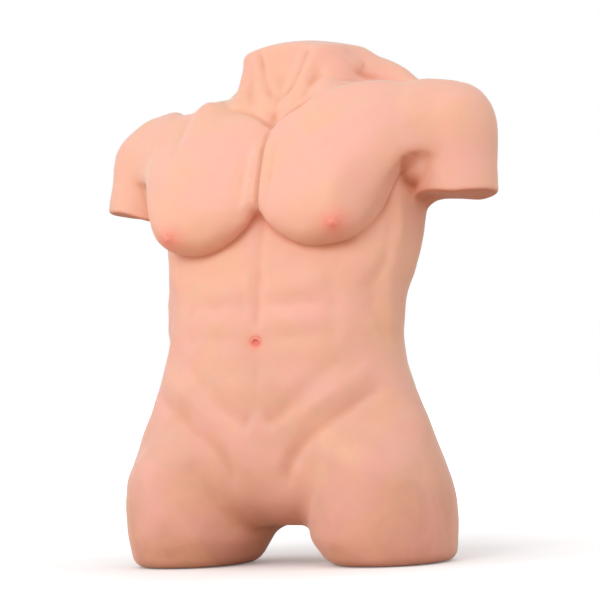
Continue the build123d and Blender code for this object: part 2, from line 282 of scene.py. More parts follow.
# ---------------------------------------------------------------------------------------------
# Chest plate, mm
# ---------------------------------------------------------------------------------------------
# its outline seen from the front (x, z), on the figure's left side
PLATE_OUTLINE = closed_path([
    (-2, 484), (4, 494), (15, 503), (35, 512), (59, 522), (83, 531), (111, 536), (145, 531),
    (172, 520), (186, 495), (184, 465), (163, 448), (147, 423), (135, 396), (122, 372),
    (104, 357), (73, 353), (51, 357), (30, 368), (11.5, 385), (0, 402), (-3, 440),
], per_span=3)
PLATE_X = np.array([0, 20, 45, 80, 110, 140, 170, 200], float)
PLATE_Z = np.array([330, 352, 374, 400, 430, 460, 490, 515, 540], float)
# y of its front, a row for each z and a column for each x
PLATE_Y = np.array([
    (-64, -66, -67, -67, -63, -48, -14, 26),
    (-66, -71, -75, -77, -74, -57, -20, 24),
    (-65, -75, -82, -86.5, -84, -63, -22, 24),
    (-61, -76, -83, -86.5, -83, -63, -20, 26),
    (-50, -66, -72, -76, -73, -56, -14, 30),
    (-37, -51, -57, -60, -56, -44, -8, 34),
    (-22, -30, -35, -39, -35, -22, 6, 42),
    (-10, -12, -14, -15, -11, 0, 22, 52),
    (6, 6, 6, 8, 14, 28, 48, 74),
], float)
PLATE_STEP = 2.0
PLATE_FINE_X = np.arange(PLATE_X[0], PLATE_X[-1] + 1.0, PLATE_STEP)
PLATE_FINE_Z = np.arange(PLATE_Z[0], PLATE_Z[-1] + 1.0, PLATE_STEP)
# y on the fine grid, by x then z
PLATE_FINE = cubic(PLATE_X, cubic(PLATE_Z, PLATE_Y, PLATE_FINE_Z).T, PLATE_FINE_X)


def plate_front(x, z):
    """y of the plate's front, straight-line interpolated on the fine grid."""
    u = np.clip(x / PLATE_STEP, 0, len(PLATE_FINE_X) - 1.001)
    w = np.clip((z - PLATE_Z[0]) / PLATE_STEP, 0, len(PLATE_FINE_Z) - 1.001)
    i, j = u.astype(int), w.astype(int)
    u, w = u - i, w - j
    low = PLATE_FINE[i, j] * (1 - u) + PLATE_FINE[i + 1, j] * u
    high = PLATE_FINE[i, j + 1] * (1 - u) + PLATE_FINE[i + 1, j + 1] * u
    return low * (1 - w) + high * w


def outline_distance(x, z, outline):
    """Signed distance to a closed outline, positive inside."""
    best = np.full(len(x), 1e9)
    odd = np.zeros(len(x), bool)
    for start, end in zip(outline, np.roll(outline, -1, axis=0)):
        side = end - start
        over, above = x - start[0], z - start[1]
        part = np.clip((over * side[0] + above * side[1]) / (side @ side), 0.0, 1.0)
        best = np.minimum(best, (over - part * side[0]) ** 2 + (above - part * side[1]) ** 2)
        crossing_x = side[0] * above / (side[1] + 1e-12) + start[0]
        odd ^= ((start[1] > z) != (end[1] > z)) & (x < crossing_x)
    best = np.sqrt(best)
    return np.where(odd, best, -best)


def chest_plate(points):
    x, y, z = points.T
    front = (plate_front(x, z) - y) * 0.9
    # rounding of the rim: widest along the lower edge
    rim = (7.0 + 13.0 * fall(z, 385, 432) * rise(x, 6, 40) * (1 - 0.5 * rise(x, 108, 138))
           + 3.0 * rise(x, 118, 150) * fall(z, 440, 490) + 4.0 * rise(z, 490, 520))
    plate = soft_max(front, -outline_distance(x, z, PLATE_OUTLINE), rim)
    return soft_max(plate, y - 46.0, 12.0)


# ---------------------------------------------------------------------------------------------
# Creases and hollows, mm, on the figure's left and mirrored. Negative ones swell.
# ---------------------------------------------------------------------------------------------
# depth, width, fade at the head and at the tail, steps of the curve, path
CREASES = [
    # sternum groove, and the line down the middle of the belly
    (4.6, 8, 0.1, 0.2, 24, [(0, -58, 400), (0, -69, 345), (0, -76, 300), (0, -83, 256)]),
    (1.0, 6, 0.2, 0.4, 24, [(0, -84, 244), (0, -86, 190), (0, -86, 150)]),
    # the V either side of the throat
    (3.6, 5.5, 0.25, 0.05, 24, [(3, 4, 517), (17, 10, 540), (30, 23, 575), (34, 27, 604)]),
    # under the collar bone
    (1.6, 3.6, 0.15, 0.55, 36, [
        (2, -20, 486), (7, -16, 494), (18, -11, 503), (37, -3, 512), (60, 7, 522), (84, 19, 531),
        (113, 33, 536)]),
    # side edge of the chest plate
    (2.0, 4, 0.35, 0.3, 36, [
        (166, 4, 464), (155, 2, 443), (145, 1, 424), (138, -8, 406), (131, -20, 387),
        (121, -32, 370)]),
    # between the soft bands of the belly, and down their outer ends
    (0.7, 9, 0.3, 0.5, 24, [(8, -68, 336), (40, -68, 333), (72, -62, 330)]),
    (1.8, 10, 0.15, 0.4, 24, [
        (4, -77, 296), (30, -76, 292), (62, -71, 294), (92, -61, 288), (114, -50, 291)]),
    (1.2, 10, 0.25, 0.5, 24, [(10, -83, 259), (38, -82, 255), (70, -76, 258), (104, -60, 250)]),
    (1.8, 10, 0.25, 0.35, 24, [(82, -60, 340), (88, -63, 300), (88, -68, 262), (80, -76, 226)]),
    # edge of the rib cage, and the flank behind it
    (3.4, 8.5, 0.3, 0.35, 36, [
        (141, -10, 392), (139, -17, 364), (136, -21, 336), (124, -37, 310), (106, -54, 295)]),
    (3.0, 9.5, 0.25, 0.4, 24, [
        (127, -34, 312), (124, -41, 283), (132, -34, 256), (141, -28, 226)]),
    (-2.6, 10, 0.3, 0.3, 24, [(140, -16, 318), (140, -20, 286), (146, -16, 250)]),
    (-1.8, 9, 0.3, 0.3, 24, [(150, 2, 404), (149, 4, 372), (146, 0, 340)]),
    # groin line, with a soft ridge and a second, fainter line above it
    (5.4, 9.5, 0.3, 0.2, 36, [
        (150, -32, 210), (134, -52, 195), (118, -66, 183), (87, -80, 161), (52, -86, 134),
        (36, -82, 108), (29, -64, 76)]),
    (-2.4, 8, 0.3, 0.3, 24, [
        (138, -42, 228), (112, -64, 208), (86, -78, 190), (62, -84, 172), (30, -88, 150)]),
    (2.9, 10, 0.5, 0.1, 24, [
        (112, -58, 244), (86, -73, 222), (54, -83, 192), (26, -87, 168), (2, -88, 160)]),
    # front of the shoulder against the chest, running into the armpit
    (1.6, 8, 0.45, 0.2, 24, [
        (160, 24, 520), (163, 10, 490), (165, 0, 462), (164, 0, 438), (162, 10, 412)]),
    # spine, and the swelling beside it
    (4.4, 11, 0.25, 0.2, 24, [
        (0, 120, 505), (0, 130, 450), (0, 124, 380), (0, 100, 300), (0, 84, 240), (0, 84, 190)]),
    (-6.0, 17, 0.3, 0.3, 24, [
        (32, 92, 176), (34, 88, 240), (36, 100, 320), (40, 122, 400), (36, 132, 470)]),
    # gluteal cleft, and the fold under the gluteal mass
    (12.0, 9, 0.3, 0.25, 24, [(0, 92, 160), (0, 104, 124), (0, 98, 88), (0, 78, 58)]),
    (3.0, 8, 0.3, 0.4, 24, [(14, 96, 56), (40, 114, 46), (78, 112, 44), (112, 92, 52)]),
]

# depth, centre, radii
HOLLOWS = [
    (4.0, (0, -10, 503), (9, 12, 9)),         # pit of the throat
    (1.5, (92, 56, 548), (32, 17, 16)),       # between the collar bone and the trapezius
    (-1.2, (40, -72, 350), (38, 30, 16)),     # four soft bands of the belly, from the top
    (-2.4, (38, -74, 312), (38, 30, 17)),
    (-2.0, (40, -80, 274), (38, 30, 15)),
    (-2.2, (30, -84, 212), (34, 30, 28)),
    (-2.0, (118, -44, 334), (16, 24, 22)),    # lower ribs
    (2.0, (34, 86, 176), (9, 14, 9)),         # sacrum dimple
]


def creases(points):
    """How far the creases and hollows push the surface in."""
    push = np.zeros(len(points))
    for line in CREASES:
        push += crease(points, *line)
    for depth, centre, radii in HOLLOWS:
        push += depth * blob(points, centre, radii)
    return push


# ---------------------------------------------------------------------------------------------
# Body: soft-joined pieces, mm, on the figure's left and mirrored. Their order matters.
# ---------------------------------------------------------------------------------------------
# ellipsoids: centre, radii, blend, turn about x, y and z in degrees
HIP_AND_BACK = [
    ((66, 50, 100), (60, 68, 62), 24, (8, 0, 12)),       # gluteal mass
    ((98, -8, 172), (42, 58, 36), 20, (0, 26, 0)),       # outer hip
    ((100, 52, 388), (48, 50, 92), 26, (-6, 6, 0)),      # side of the ribs
    ((80, 98, 438), (54, 36, 60), 30, (-14, 10, 6)),     # shoulder blade
    ((46, 92, 470), (50, 40, 70), 30, (-8, -14, 0)),     # upper back
    ((30, 60, 300), (44, 42, 130), 34, (-8, 0, 0)),      # beside the spine
]
TRAPEZIUS = dict(
    path=[(40, 90, 590), (48, 90, 570), (58, 90, 556), (76, 88, 544), (100, 84, 531),
          (128, 78, 516), (156, 70, 500)],
    start_radius=19, end_radius=21, blend=14.0)
# capsules: start, end, start radius, end radius, blend
COLLAR_AND_NECK = [
    ((12, 2, 500), (54, 18, 522), 10, 11, 16),           # collar bone, in three lengths
    ((54, 18, 522), (104, 42, 514), 11, 10, 18),
    ((104, 42, 514), (150, 56, 504), 10, 12, 16),
    ((12, 6, 510), (46, 46, 606), 9, 14, 14),            # side of the neck
    ((42, 68, 604), (50, 66, 556), 15, 15, 16),
    ((38, 50, 604), (50, 52, 548), 15, 15, 18),
    ((38, 44, 602), (48, 40, 538), 14, 15, 16),
    ((44, 84, 600), (61, 86, 562), 15, 16, 14),
]
SHOULDER_TOP = [                                         # as HIP_AND_BACK
    ((136, 60, 496), (32, 22, 16), 14),
    ((150, 82, 476), (28, 24, 26), 16),
]
ARMPIT = [                                               # as COLLAR_AND_NECK
    ((146, 60, 416), (168, 56, 440), 20, 28, 16),
    ((146, 26, 446), (172, 34, 470), 22, 24, 18),
    ((158, 20, 484), (166, 28, 450), 20, 14, 14),
    ((157, 18, 462), (162, 20, 428), 14, 11, 12),
]
ARMPIT_FRONT = dict(centre=(157, 12, 447), radii=(15, 15, 22), blend=14.0)
MIDLINE_SOFTNESS = 2.2
PLATE_REACH = dict(top=560, back=60)                     # where the plate is worked out
TRUNK_BOTTOM = dict(z=44.0, blend=38.0)
FLOOR_BLEND = 11.0
# top of the neck: height, how it drops away from an axis at this y, and its rounding
NECK_CUT = dict(z=597.0, y=78.0, drop=0.0026, limit=6400.0, slope=0.95, blend=7.0)


def arm_stump(points):
    x, y, z = points.T
    arm = capsule(points, (185, 62, 471.5), (199, 45, 392), start_radius=51, end_radius=45)
    shoulder = ellipsoid(points, centre=(174, 62, 470), radii=(60, 55, 55))
    cut = 403.0 - z - 0.08 * (y - 45.0) + 0.11 * (x - 195.0)
    return soft_max(soft_min(arm, shoulder, 14.0), cut, 6.0)


def neck_top(x, y, z):
    away = np.minimum(x * x + (y - NECK_CUT["y"]) ** 2, NECK_CUT["limit"])
    return (z - NECK_CUT["z"] + NECK_CUT["drop"] * away) * NECK_CUT["slope"]


def body(points):
    """The whole body, before its two sides are made to differ."""
    mirrored_x = np.sqrt(points[:, 0] ** 2 + MIDLINE_SOFTNESS ** 2)
    half = np.stack([mirrored_x, points[:, 1], points[:, 2]], 1)
    x, y, z = half.T
    form = Form(half, soft_max(trunk(half), TRUNK_BOTTOM["z"] - z, TRUNK_BOTTOM["blend"]))
    low = z < THIGH[-1, 0]
    form.put(low, thigh(half[low]), 14.0)
    for piece in HIP_AND_BACK:
        form.ellipsoid(*piece)
    form.tube(**TRAPEZIUS)
    for piece in COLLAR_AND_NECK:
        form.capsule(*piece)
    for piece in SHOULDER_TOP:
        form.ellipsoid(*piece)
    form.put(slice(None), arm_stump(half), 14.0 + 8.0 * rise(z, 420, 470))
    for piece in ARMPIT:
        form.capsule(*piece)
    form.ellipsoid(**ARMPIT_FRONT)
    chest = ((z > PLATE_Z[0]) & (z < PLATE_REACH["top"])
             & (y < PLATE_REACH["back"]) & (x < PLATE_X[-1]))
    blend = 4.0 + 20.0 * rise(x, 126, 162) * rise(z, 415, 450) + 8.0 * rise(z, 500, 530)
    form.put(chest, chest_plate(half[chest]), blend[chest])
    dist = form.dist + creases(half)
    dist = soft_max(dist, -z, FLOOR_BLEND)
    return soft_max(dist, neck_top(x, y, z), NECK_CUT["blend"])


def warp(points):
    """Makes the two sides differ: the figure's left shoulder rides higher."""
    x, y, z = points.T
    out_x = np.abs(x)
    # tilt, as a lift per millimetre of x: chest, shoulder tip, slope of the trapezius
    tilt = 0.042 * rise(z, 250, 400) * (1 - rise(out_x, 165, 215) * fall(z, 425, 485))
    tilt += 0.020 * rise(z, 480, 520) * rise(out_x, 140, 175)
    tilt += (0.112 * rise(z, 505, 540) * rise(out_x, 58, 88) * fall(out_x, 105, 175)
             * rise(y, 42, 74))
    moved = points.copy()
    moved[:, 2] += x * tilt * fall(z, 572, 596)
    # collar bones: left up, right down
    moved[:, 2] += (np.sign(x) * 5.0 * bell(out_x, 58, 26) * bell(z, 526, 22)
                    * fall(y, 10, 50))
    # left side of the chest set back
    moved[:, 1] += (18.0 * rise(x, 0, 40) * bell(x, 135, 26) * bell(z, 400, 46)
                    * fall(y, -34, 6))
    # uneven top of the right shoulder
    uneven = 3.0 * bell(x, -147, 11) - 10.0 * bell(x, -130, 29) - 4.5 * bell(x, -112, 13)
    moved[:, 2] += (3.0 * bell(x, -90, 20) * rise(z, 470, 525)
                    + uneven * rise(z, 430, 505)) * fall(z, 556, 582)
    # right shoulder tip up, left shoulder top down
    moved[:, 2] += 2.0 * bell(x, -195, 22) * rise(z, 455, 490)
    moved[:, 2] -= 4.0 * bell(x, 172, 36) * rise(z, 480, 512)
    # right side of the neck in, and both chest sides towards the figure's right
    moved[:, 0] += 4.0 * bell(x, -50, 26) * bell(z, 570, 24) * fall(y, 60, 100)
    moved[:, 0] -= 2.0 * bell(out_x, 135, 30) * bell(z, 384, 34) * fall(y, 0, 50)
    return moved


# ---------------------------------------------------------------------------------------------
# Surface extraction: surface nets on a grid that is worked out only near the surface
# ---------------------------------------------------------------------------------------------
def evaluate(shape, points, chunk=400000):
    return np.concatenate([shape(points[i:i + chunk]) for i in range(0, len(points), chunk)])


def corner_view(grid, corner):
    """The values at one corner of every cell."""
    return grid[tuple(slice(i, size - 1 + i) for i, size in zip(corner, grid.shape))]


def grid_field(shape, lo, hi, step):
    """Samples the shape on a grid, exact near the surface and constant away from it."""
    coarse_step = step * COARSE
    size = np.ceil((hi - lo) / coarse_step).astype(int) + 1
    axes = [lo[i] + coarse_step * np.arange(size[i]) for i in range(3)]
    grid = np.stack(np.meshgrid(*axes, indexing="ij"), -1).reshape(-1, 3)
    rough = evaluate(shape, grid).reshape(size)
    near = np.abs(rough) < 1.9 * coarse_step
    blocks = np.zeros(size - 1, bool)
    for corner in np.ndindex(2, 2, 2):
        blocks |= corner_view(near, corner)
    far = np.where(rough[:-1, :-1, :-1] < 0, -coarse_step, coarse_step)
    for axis in range(3):
        far = np.repeat(far, COARSE, axis)
    field = np.full((size - 1) * COARSE + 1, coarse_step, np.float32)
    field[:-1, :-1, :-1] = far
    wanted = np.zeros(field.shape, bool)
    block_starts = np.argwhere(blocks) * COARSE
    for offset in np.ndindex(COARSE + 1, COARSE + 1, COARSE + 1):
        wanted[tuple((block_starts + offset).T)] = True
    field[wanted] = evaluate(shape, lo + step * np.argwhere(wanted))
    return field


def surface_nets(field, lo, step):
    """Points and quads of the zero surface."""
    size = np.array(field.shape)
    inside = field < 0
    count = np.zeros(size - 1, np.int8)
    for corner in np.ndindex(2, 2, 2):
        count += corner_view(inside, corner)
    active = (count > 0) & (count < 8)
    cells = np.argwhere(active)
    ids = np.full(size - 1, -1, np.int64)
    ids[active] = np.arange(len(cells))

    # each point is the mean of the crossings on its cell's edges
    total = np.zeros((len(cells), 3))
    crossings = np.zeros(len(cells))
    for axis in range(3):
        others = [i for i in range(3) if i != axis]
        for offset in np.ndindex(2, 2):
            start = cells.copy()
            start[:, others] += offset
            end = start.copy()
            end[:, axis] += 1
            at_start = field[tuple(start.T)].astype(float)
            at_end = field[tuple(end.T)].astype(float)
            cross = (at_start < 0) != (at_end < 0)
            part = np.where(cross, at_start / np.where(cross, at_start - at_end, 1.0), 0.0)
            place = start.astype(float)
            place[:, axis] += part
            total[cross] += place[cross]
            crossings[cross] += 1
    verts = lo + step * total / crossings[:, None]

    # each crossed edge of the grid gives a quad of the four cells round it
    quads = []
    for axis in range(3):
        others = [(axis + 1) % 3, (axis + 2) % 3]
        edges = np.argwhere(np.diff(inside, axis=axis))
        across = edges[:, others]
        edges = edges[np.all((across > 0) & (across < size[others] - 1), axis=1)]
        starts_inside = inside[tuple(edges.T)]
        corners = []
        for offset in ((1, 1), (0, 1), (0, 0), (1, 0)):
            cell = edges.copy()
            cell[:, others] -= offset
            corners.append(ids[tuple(cell.T)])
        faces = np.stack(corners, 1)
        faces[~starts_inside] = faces[~starts_inside][:, ::-1]
        quads.append(faces)
    return verts, np.concatenate(quads)


def both_ways(edges):
    return np.concatenate([edges, edges[:, ::-1]])


def neighbour_mean(links, values):
    """Mean of a value over the points linked to each point."""
    degree = np.bincount(links[:, 0], minlength=len(values)).astype(float)
    sums = np.bincount(links[:, 0], weights=values[links[:, 1]], minlength=len(values))
    return sums / degree


def neighbour_centre(links, points):
    return np.stack([neighbour_mean(links, points[:, i]) for i in range(3)], 1)


def gradient(shape, points, reach=0.6):
    slope = np.empty_like(points)
    for i in range(3):
        offset = np.zeros(3)
        offset[i] = reach
        change = evaluate(shape, points + offset) - evaluate(shape, points - offset)
        slope[:, i] = change / (2 * reach)
    return slope


def put_on_surface(shape, points, longest=2.5):
    slope = gradient(shape, points)
    steepness = np.maximum((slope * slope).sum(1), 0.05)
    move = -(evaluate(shape, points) / steepness)[:, None] * slope
    length = np.linalg.norm(move, axis=1)
    move *= np.minimum(1.0, longest / np.maximum(length, 1e-9))[:, None]
    return points + move


def make_surface(shape, lo, hi, step, rounds, mirrored=False):
    """Points and evened-out quads of a shape. A mirrored one is sampled from x = 0 outwards."""
    lo, hi = np.array(lo, float), np.array(hi, float)
    field = grid_field(shape, lo, hi, step)
    if mirrored:
        field = np.concatenate([field[:0:-1], field], 0)
        lo[0] = -(field.shape[0] - 1) / 2 * step
    verts, quads = surface_nets(field, lo, step)
    links = both_ways(np.concatenate([quads[:, [i, (i + 1) % 4]] for i in range(4)]))
    for _ in range(rounds):
        verts = verts + 0.5 * (neighbour_centre(links, verts) - verts)
        verts = put_on_surface(shape, verts)
    return verts, quads


# ---------------------------------------------------------------------------------------------
# Inside: room for the steel, the foam core, and the cavity in the skin, mm
# ---------------------------------------------------------------------------------------------
STEEL_GAP = 2.5
STEEL_PIECES = ["pelvis_crossbar", "pelvis_tee", "lumbar_post", "hinge_fork", "shoulder_cross",
                "shoulder_crossbar", "neck_plate", "neck_plate_bolt"]
STEEL_PIECES += [f"{piece}_{side}" for side in ("left", "right") for piece in (
    "hip_elbow", "thigh_post", "thigh_plate", "thigh_plate_bolt", "shoulder_cap")]
THIGH_PLATES = ("thigh_plate_left", "thigh_plate_right")
THIGH_PLATE_HEIGHT = 4.0                      # room kept above the underside of a thigh plate
NECK_BAR_RADIUS = 15.5                        # room from the hinge to the neck plate
SKIN_THICKNESS = 21.0
CORE_BOTTOM, CORE_TOP = 82.0, 498.0
CORE_ROUNDING = 8.0


def drawn_box(node):
    """Box of a frame piece in the drawing."""
    lo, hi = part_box(node)
    shift = Vector((0, SHIFT_Y, 0))
    return np.array((lo + shift) * 1000.0), np.array((hi + shift) * 1000.0)


def steel_room(points):
    """Distance to the space kept free round the steel frame."""
    dist = np.full(len(points), 1e9)
    for name in STEEL_PIECES:
        lo, hi = drawn_box(name)
        if name in THIGH_PLATES:
            hi = np.array([hi[0], hi[1], lo[2] + THIGH_PLATE_HEIGHT])
        dist = np.minimum(dist, box(points, lo - STEEL_GAP, hi + STEEL_GAP))
    hinge_y, hinge_z = DRAWN_HINGE_Y, HINGE[2] * 1000.0
    hinge_room = box(points, lo=(-34, hinge_y - 30, hinge_z - 39),
                     hi=(38, hinge_y + 40, hinge_z + 41))
    dist = np.minimum(dist, hinge_room)
    lo, hi = drawn_box("neck_plate")
    plate = (lo + hi) / 2.0
    neck_bar = capsule(points, (0, hinge_y, hinge_z), (0, plate[1], plate[2]),
                       NECK_BAR_RADIUS, NECK_BAR_RADIUS)
    return np.minimum(dist, neck_bar)


def core(points):
    half = np.stack([np.abs(points[:, 0]), points[:, 1], points[:, 2]], 1)
    dist = soft_max(trunk(half) + SKIN_THICKNESS, CORE_BOTTOM - points[:, 2], CORE_ROUNDING)
    return soft_max(dist, points[:, 2] - CORE_TOP, CORE_ROUNDING)


def foam_form(points):
    return soft_max(core(points), -steel_room(points), 1.5)


def cavity_form(points):
    """Room for the core, a millimetre larger, and for the steel."""
    return soft_min(core(points) - 1.0, steel_room(points), 1.0)


# ---------------------------------------------------------------------------------------------
# Meshes, between the drawing's millimetres and the product's metres
# ---------------------------------------------------------------------------------------------
def to_metres(points):
    metres = points / 1000.0
    metres[:, 1] -= SHIFT_Y
    return metres.astype(np.float32).ravel()


def read_vertices(mesh, field):
    values = np.zeros(len(mesh.vertices) * 3, np.float32)
    mesh.vertices.foreach_get(field, values)
    return values.reshape(-1, 3).astype(float)


def drawn_points(mesh):
    points = read_vertices(mesh, "co")
    points[:, 1] += SHIFT_Y
    return points * 1000.0


def shade_smooth(mesh):
    mesh.polygons.foreach_set("use_smooth", np.ones(len(mesh.polygons), bool))


def new_mesh(name, verts, quads):
    mesh = bpy.data.meshes.new(name)
    mesh.vertices.add(len(verts))
    mesh.vertices.foreach_set("co", to_metres(verts))
    mesh.loops.add(quads.size)
    mesh.loops.foreach_set("vertex_index", quads.astype(np.int32).ravel())
    mesh.polygons.add(len(quads))
    mesh.polygons.foreach_set("loop_start", (np.arange(len(quads)) * 4).astype(np.int32))
    mesh.update(calc_edges=True)
    mesh.validate()
    shade_smooth(mesh)
    obj = bpy.data.objects.new(name, mesh)
    bpy.context.scene.collection.objects.link(obj)
    return obj


def refine(mesh, centres, radius, rounds):
    """Splits the faces near each centre so that small features have points to move."""
    places = [Vector((c[0] / 1000.0, c[1] / 1000.0 - SHIFT_Y, c[2] / 1000.0)) for c in centres]
    bm = bmesh.new()
    bm.from_mesh(mesh)
    for _ in range(rounds):
        edges = [
            edge for edge in bm.edges
            if any(all((vert.co - place).length < radius / 1000.0 for vert in edge.verts)
                   for place in places)
        ]
        bmesh.ops.subdivide_edges(bm, edges=edges, cuts=1, use_grid_fill=True, smooth=0.0)
        radius *= 0.72
    bm.normal_update()
    bm.to_mesh(mesh)
    bm.free()
    shade_smooth(mesh)
    mesh.update()


def add_attribute(mesh, name, values):
    """Stores a number or a vector for each point."""
    if values.ndim == 1:
        kind, field = "FLOAT", "value"
    else:
        kind, field = "FLOAT_VECTOR", "vector"
    layer = mesh.attributes.new(name, kind, "POINT")
    layer.data.foreach_set(field, values.astype(np.float32).ravel())


# ---------------------------------------------------------------------------------------------
# Small detail of the skin. Shifts are along the normal, mm, outwards when positive.
# ---------------------------------------------------------------------------------------------
def on_skin(x, z):
    """Point of the outer surface reached from the front at (x, z)."""
    y = -170.0
    for _ in range(60):
        dist = body(np.array([[abs(x), y, z]]))[0]
        if abs(dist) < 0.02:
            break
        y += dist * 0.8
    return np.array([x, y, z])


NIPPLE_X, NIPPLE_Z = 101.0, 374.0
NIPPLES = [on_skin(NIPPLE_X, NIPPLE_Z), on_skin(-NIPPLE_X, NIPPLE_Z)]
NAVEL = on_skin(0.0, 250.5)

# crisp edge of the figure's left chest plate
LEFT_PLATE_EDGE = [
    (6, -66, 388), (-1, -58, 404), (-3, -48, 432), (-3, -36, 462), (-1, -22, 484), (7, -18, 494),
    (18, -13, 503), (37, -5, 513), (60, 5, 523)]
# pinched ridge on the figure's right of the sternum groove
RIDGE = [(-9, -34, 478), (-10, -46, 452), (-10, -58, 425), (-13, -68, 402), (-26, -76, 388)]
# fold above the left collar bone, drawn in an upright plane turned from the front to the left
FOLD = [(66, 0, 566), (68, 0, 560), (73.5, 0, 551), (83, 0, 543), (100, 0, 536), (116, 0, 534)]
FOLD_COS, FOLD_SIN = 0.906, 0.4226
FOLD_Y = 20.3                                 # the plane's turning axis is at x = 0 and this y
# sternum profile: face y at heights z, and how far the crease lies to the left at heights z
FACE_Z = (380, 400, 420, 440, 460, 480, 500)
FACE_Y = (-81.0, -77.9, -72.1, -63.5, -52.8, -38.7, -24.0)
MIDDLE_Z = (390, 405, 430, 460, 490)
MIDDLE_X = (4.5, 3.8, 2.6, 1.4, 0.0)
GROOVE_DEPTH = 11.0


def nipple_detail(points):
    """Shift, and the tint of the areolas."""
    shift, tint = np.zeros(len(points)), np.zeros(len(points))
    for i, centre in enumerate(NIPPLES):
        reach = np.linalg.norm((points - centre) * (1.0, 0.6, 1.12), axis=1)
        near = reach < 34
        reach = reach[near]
        x, _, z = points[near].T
        angle = np.arctan2(z - centre[2], x - centre[0])
        edge = 14.5 + 1.2 * np.sin(2 * angle + 0.6 + i) + 0.6 * np.sin(3 * angle + 2.1 * i)
        lumps = np.sin(x * 1.5 + i) * np.sin(z * 1.3 + 1.0) * bell(reach, 5.5, 2.6) * 0.28
        mound = 0.8 * np.exp(-(reach / 8.0) ** 3)
        tip = 1.5 * np.exp(-(reach / 3.2) ** 2.2)
        shift[near] += mound + tip + lumps
        tint[near] = np.maximum(tint[near], bell(reach, 0, edge))
    return shift, tint


def navel_detail(points):
    """Shift, and the tint of the navel."""
    shift, tint = np.zeros(len(points)), np.zeros(len(points))
    x, y, z = (points - NAVEL).T
    reach = np.sqrt((x / 1.15) ** 2 + z ** 2 + (y / 3.0) ** 2)
    near = reach < 40
    x, z, reach = x[near], z[near], reach[near]
    upward = z / np.maximum(reach, 0.5)
    pit = 2.6 * np.exp(-(reach / 4.6) ** 2.4) + 1.4 * bell(reach, 0, 10.0)
    rim = 1.9 * bell(reach, 4.2, 1.35) * np.clip(0.35 + 0.85 * upward, 0.0, 1.2)
    knot = 1.5 * bell(x, 0, 1.3) * bell(z, -0.9, 1.6)
    shift[near] = rim + knot - pit
    tint[near] = np.exp(-(reach / 7.6) ** 1.9)
    return shift, tint


def plate_edge(points):
    shift = np.zeros(len(points))
    dist, along = curve_distance(points, smooth_path(LEFT_PLATE_EDGE, 48))
    near = dist < 14
    shift[near] = (-2.5 * bell(dist[near], 0, 2.3) * fade(along[near], head=0.12, tail=0.35)
                   * rise(points[near, 0], -16, -4))
    return shift


def sternum_ridge(points):
    """How far the pinched ridge stands forward, and its tint, a painted highlight."""
    pinch, tint = np.zeros(len(points)), np.zeros(len(points))
    dist, along = curve_distance(points, smooth_path(RIDGE))
    near = dist < 22
    dist, z = dist[near], points[near, 2]
    ends = fade(along[near], head=0.2, tail=0.3)
    wobble = 0.55 + 0.45 * np.sin(z + 1.4 * np.sin(z * 0.17)) * np.sin(z * 0.23 + 0.7)
    pinch[near] = 0.9 * (2.3 * wobble - 0.2) * bell(dist, 0, 3.2) * ends
    tint[near] = bell(dist, 0, 5.0) * ends
    return pinch, tint


def unevenness(points):
    """Slow waves of a hand-worked surface, away from the floor and the neck cut."""
    x, y, z = points.T
    broad = (np.sin(x / 9.0 + 1.3 * np.sin(z / 17.0))
             * np.sin(z / 11.0 + 0.9 * np.sin(x / 23.0) + y / 14.0))
    small = np.sin(x / 4.7 + y / 6.0) * np.sin(z / 5.3 + 1.1 * np.sin(y / 12.0))
    return 0.22 * (broad + 0.6 * small) * rise(z, 6, 30) * fall(z, 560, 590)


def neck_fold(points, normals):
    """Runs the left side of the neck out into the shoulder, with a fold above the collar bone."""
    x, y, z = points.T
    shift = 10.0 * blob(points, centre=(65, 53, 552), radii=(24, 31, 21)) * rise(x, 0, 30)
    flat = np.stack([FOLD_COS * x + FOLD_SIN * (y - FOLD_Y), np.zeros(len(points)), z], 1)
    dist, along = curve_distance(flat, smooth_path(FOLD))
    facing = normals[:, 0] * FOLD_SIN - normals[:, 1] * FOLD_COS > 0.05
    near = (dist < 12) & (x > 20) & (y < 84) & (z > 520) & facing
    shift[near] -= 2.4 * bell(dist[near], 0, 3.0) * fade(along[near], head=0.2, tail=0.4)
    return shift


def sternum_move(points):
    """Forward move to a soft run up from the right, a narrow crease, then the left plate's lip."""
    x, y, z = points.T
    face = np.interp(z, FACE_Z, FACE_Y)
    across = x - np.interp(z, MIDDLE_Z, MIDDLE_X)
    half_depth = GROOVE_DEPTH / 2
    run = (face + half_depth * np.clip((across + 25.0) / 22.5, 0.0, 1.0) ** 1.7
           + half_depth * rise(across, -3.6, -1.4))
    lip = face + GROOVE_DEPTH * np.exp(-(across + 1.2) / 4.4)
    profile = np.where(across < -1.0, run, np.minimum(lip, face + GROOVE_DEPTH))
    weight = rise(z, 388, 410) * fall(z, 466, 488) * fall(np.abs(x), 9, 25)
    return (np.minimum(y, profile) - y) * weight


def shape_skin(mesh):
    """Works the detail into the skin. Returns the tint masks by name."""
    points = drawn_points(mesh)
    normals = read_vertices(mesh, "normal")
    nipple_shift, areola = nipple_detail(points)
    navel_shift, navel = navel_detail(points)
    pinch, ridge_highlight = sternum_ridge(points)
    shift = (nipple_shift + navel_shift + plate_edge(points) + unevenness(points)
             + neck_fold(points, normals))
    front = points[:, 1] < 10
    points = points + normals * shift[:, None]
    middle = front & (np.abs(points[:, 0]) < 25)
    points[middle, 1] += sternum_move(points[middle])
    points[:, 1] -= pinch
    points = warp(points)
    mesh.vertices.foreach_set("co", to_metres(points))
    mesh.update()
    # the ridge tint is a painted highlight; the crease and underside masks are painted shade
    masks = {"areola": areola, "navel": navel, "ridge_highlight": ridge_highlight}
    masks.update(form_masks(mesh, points))
    return masks


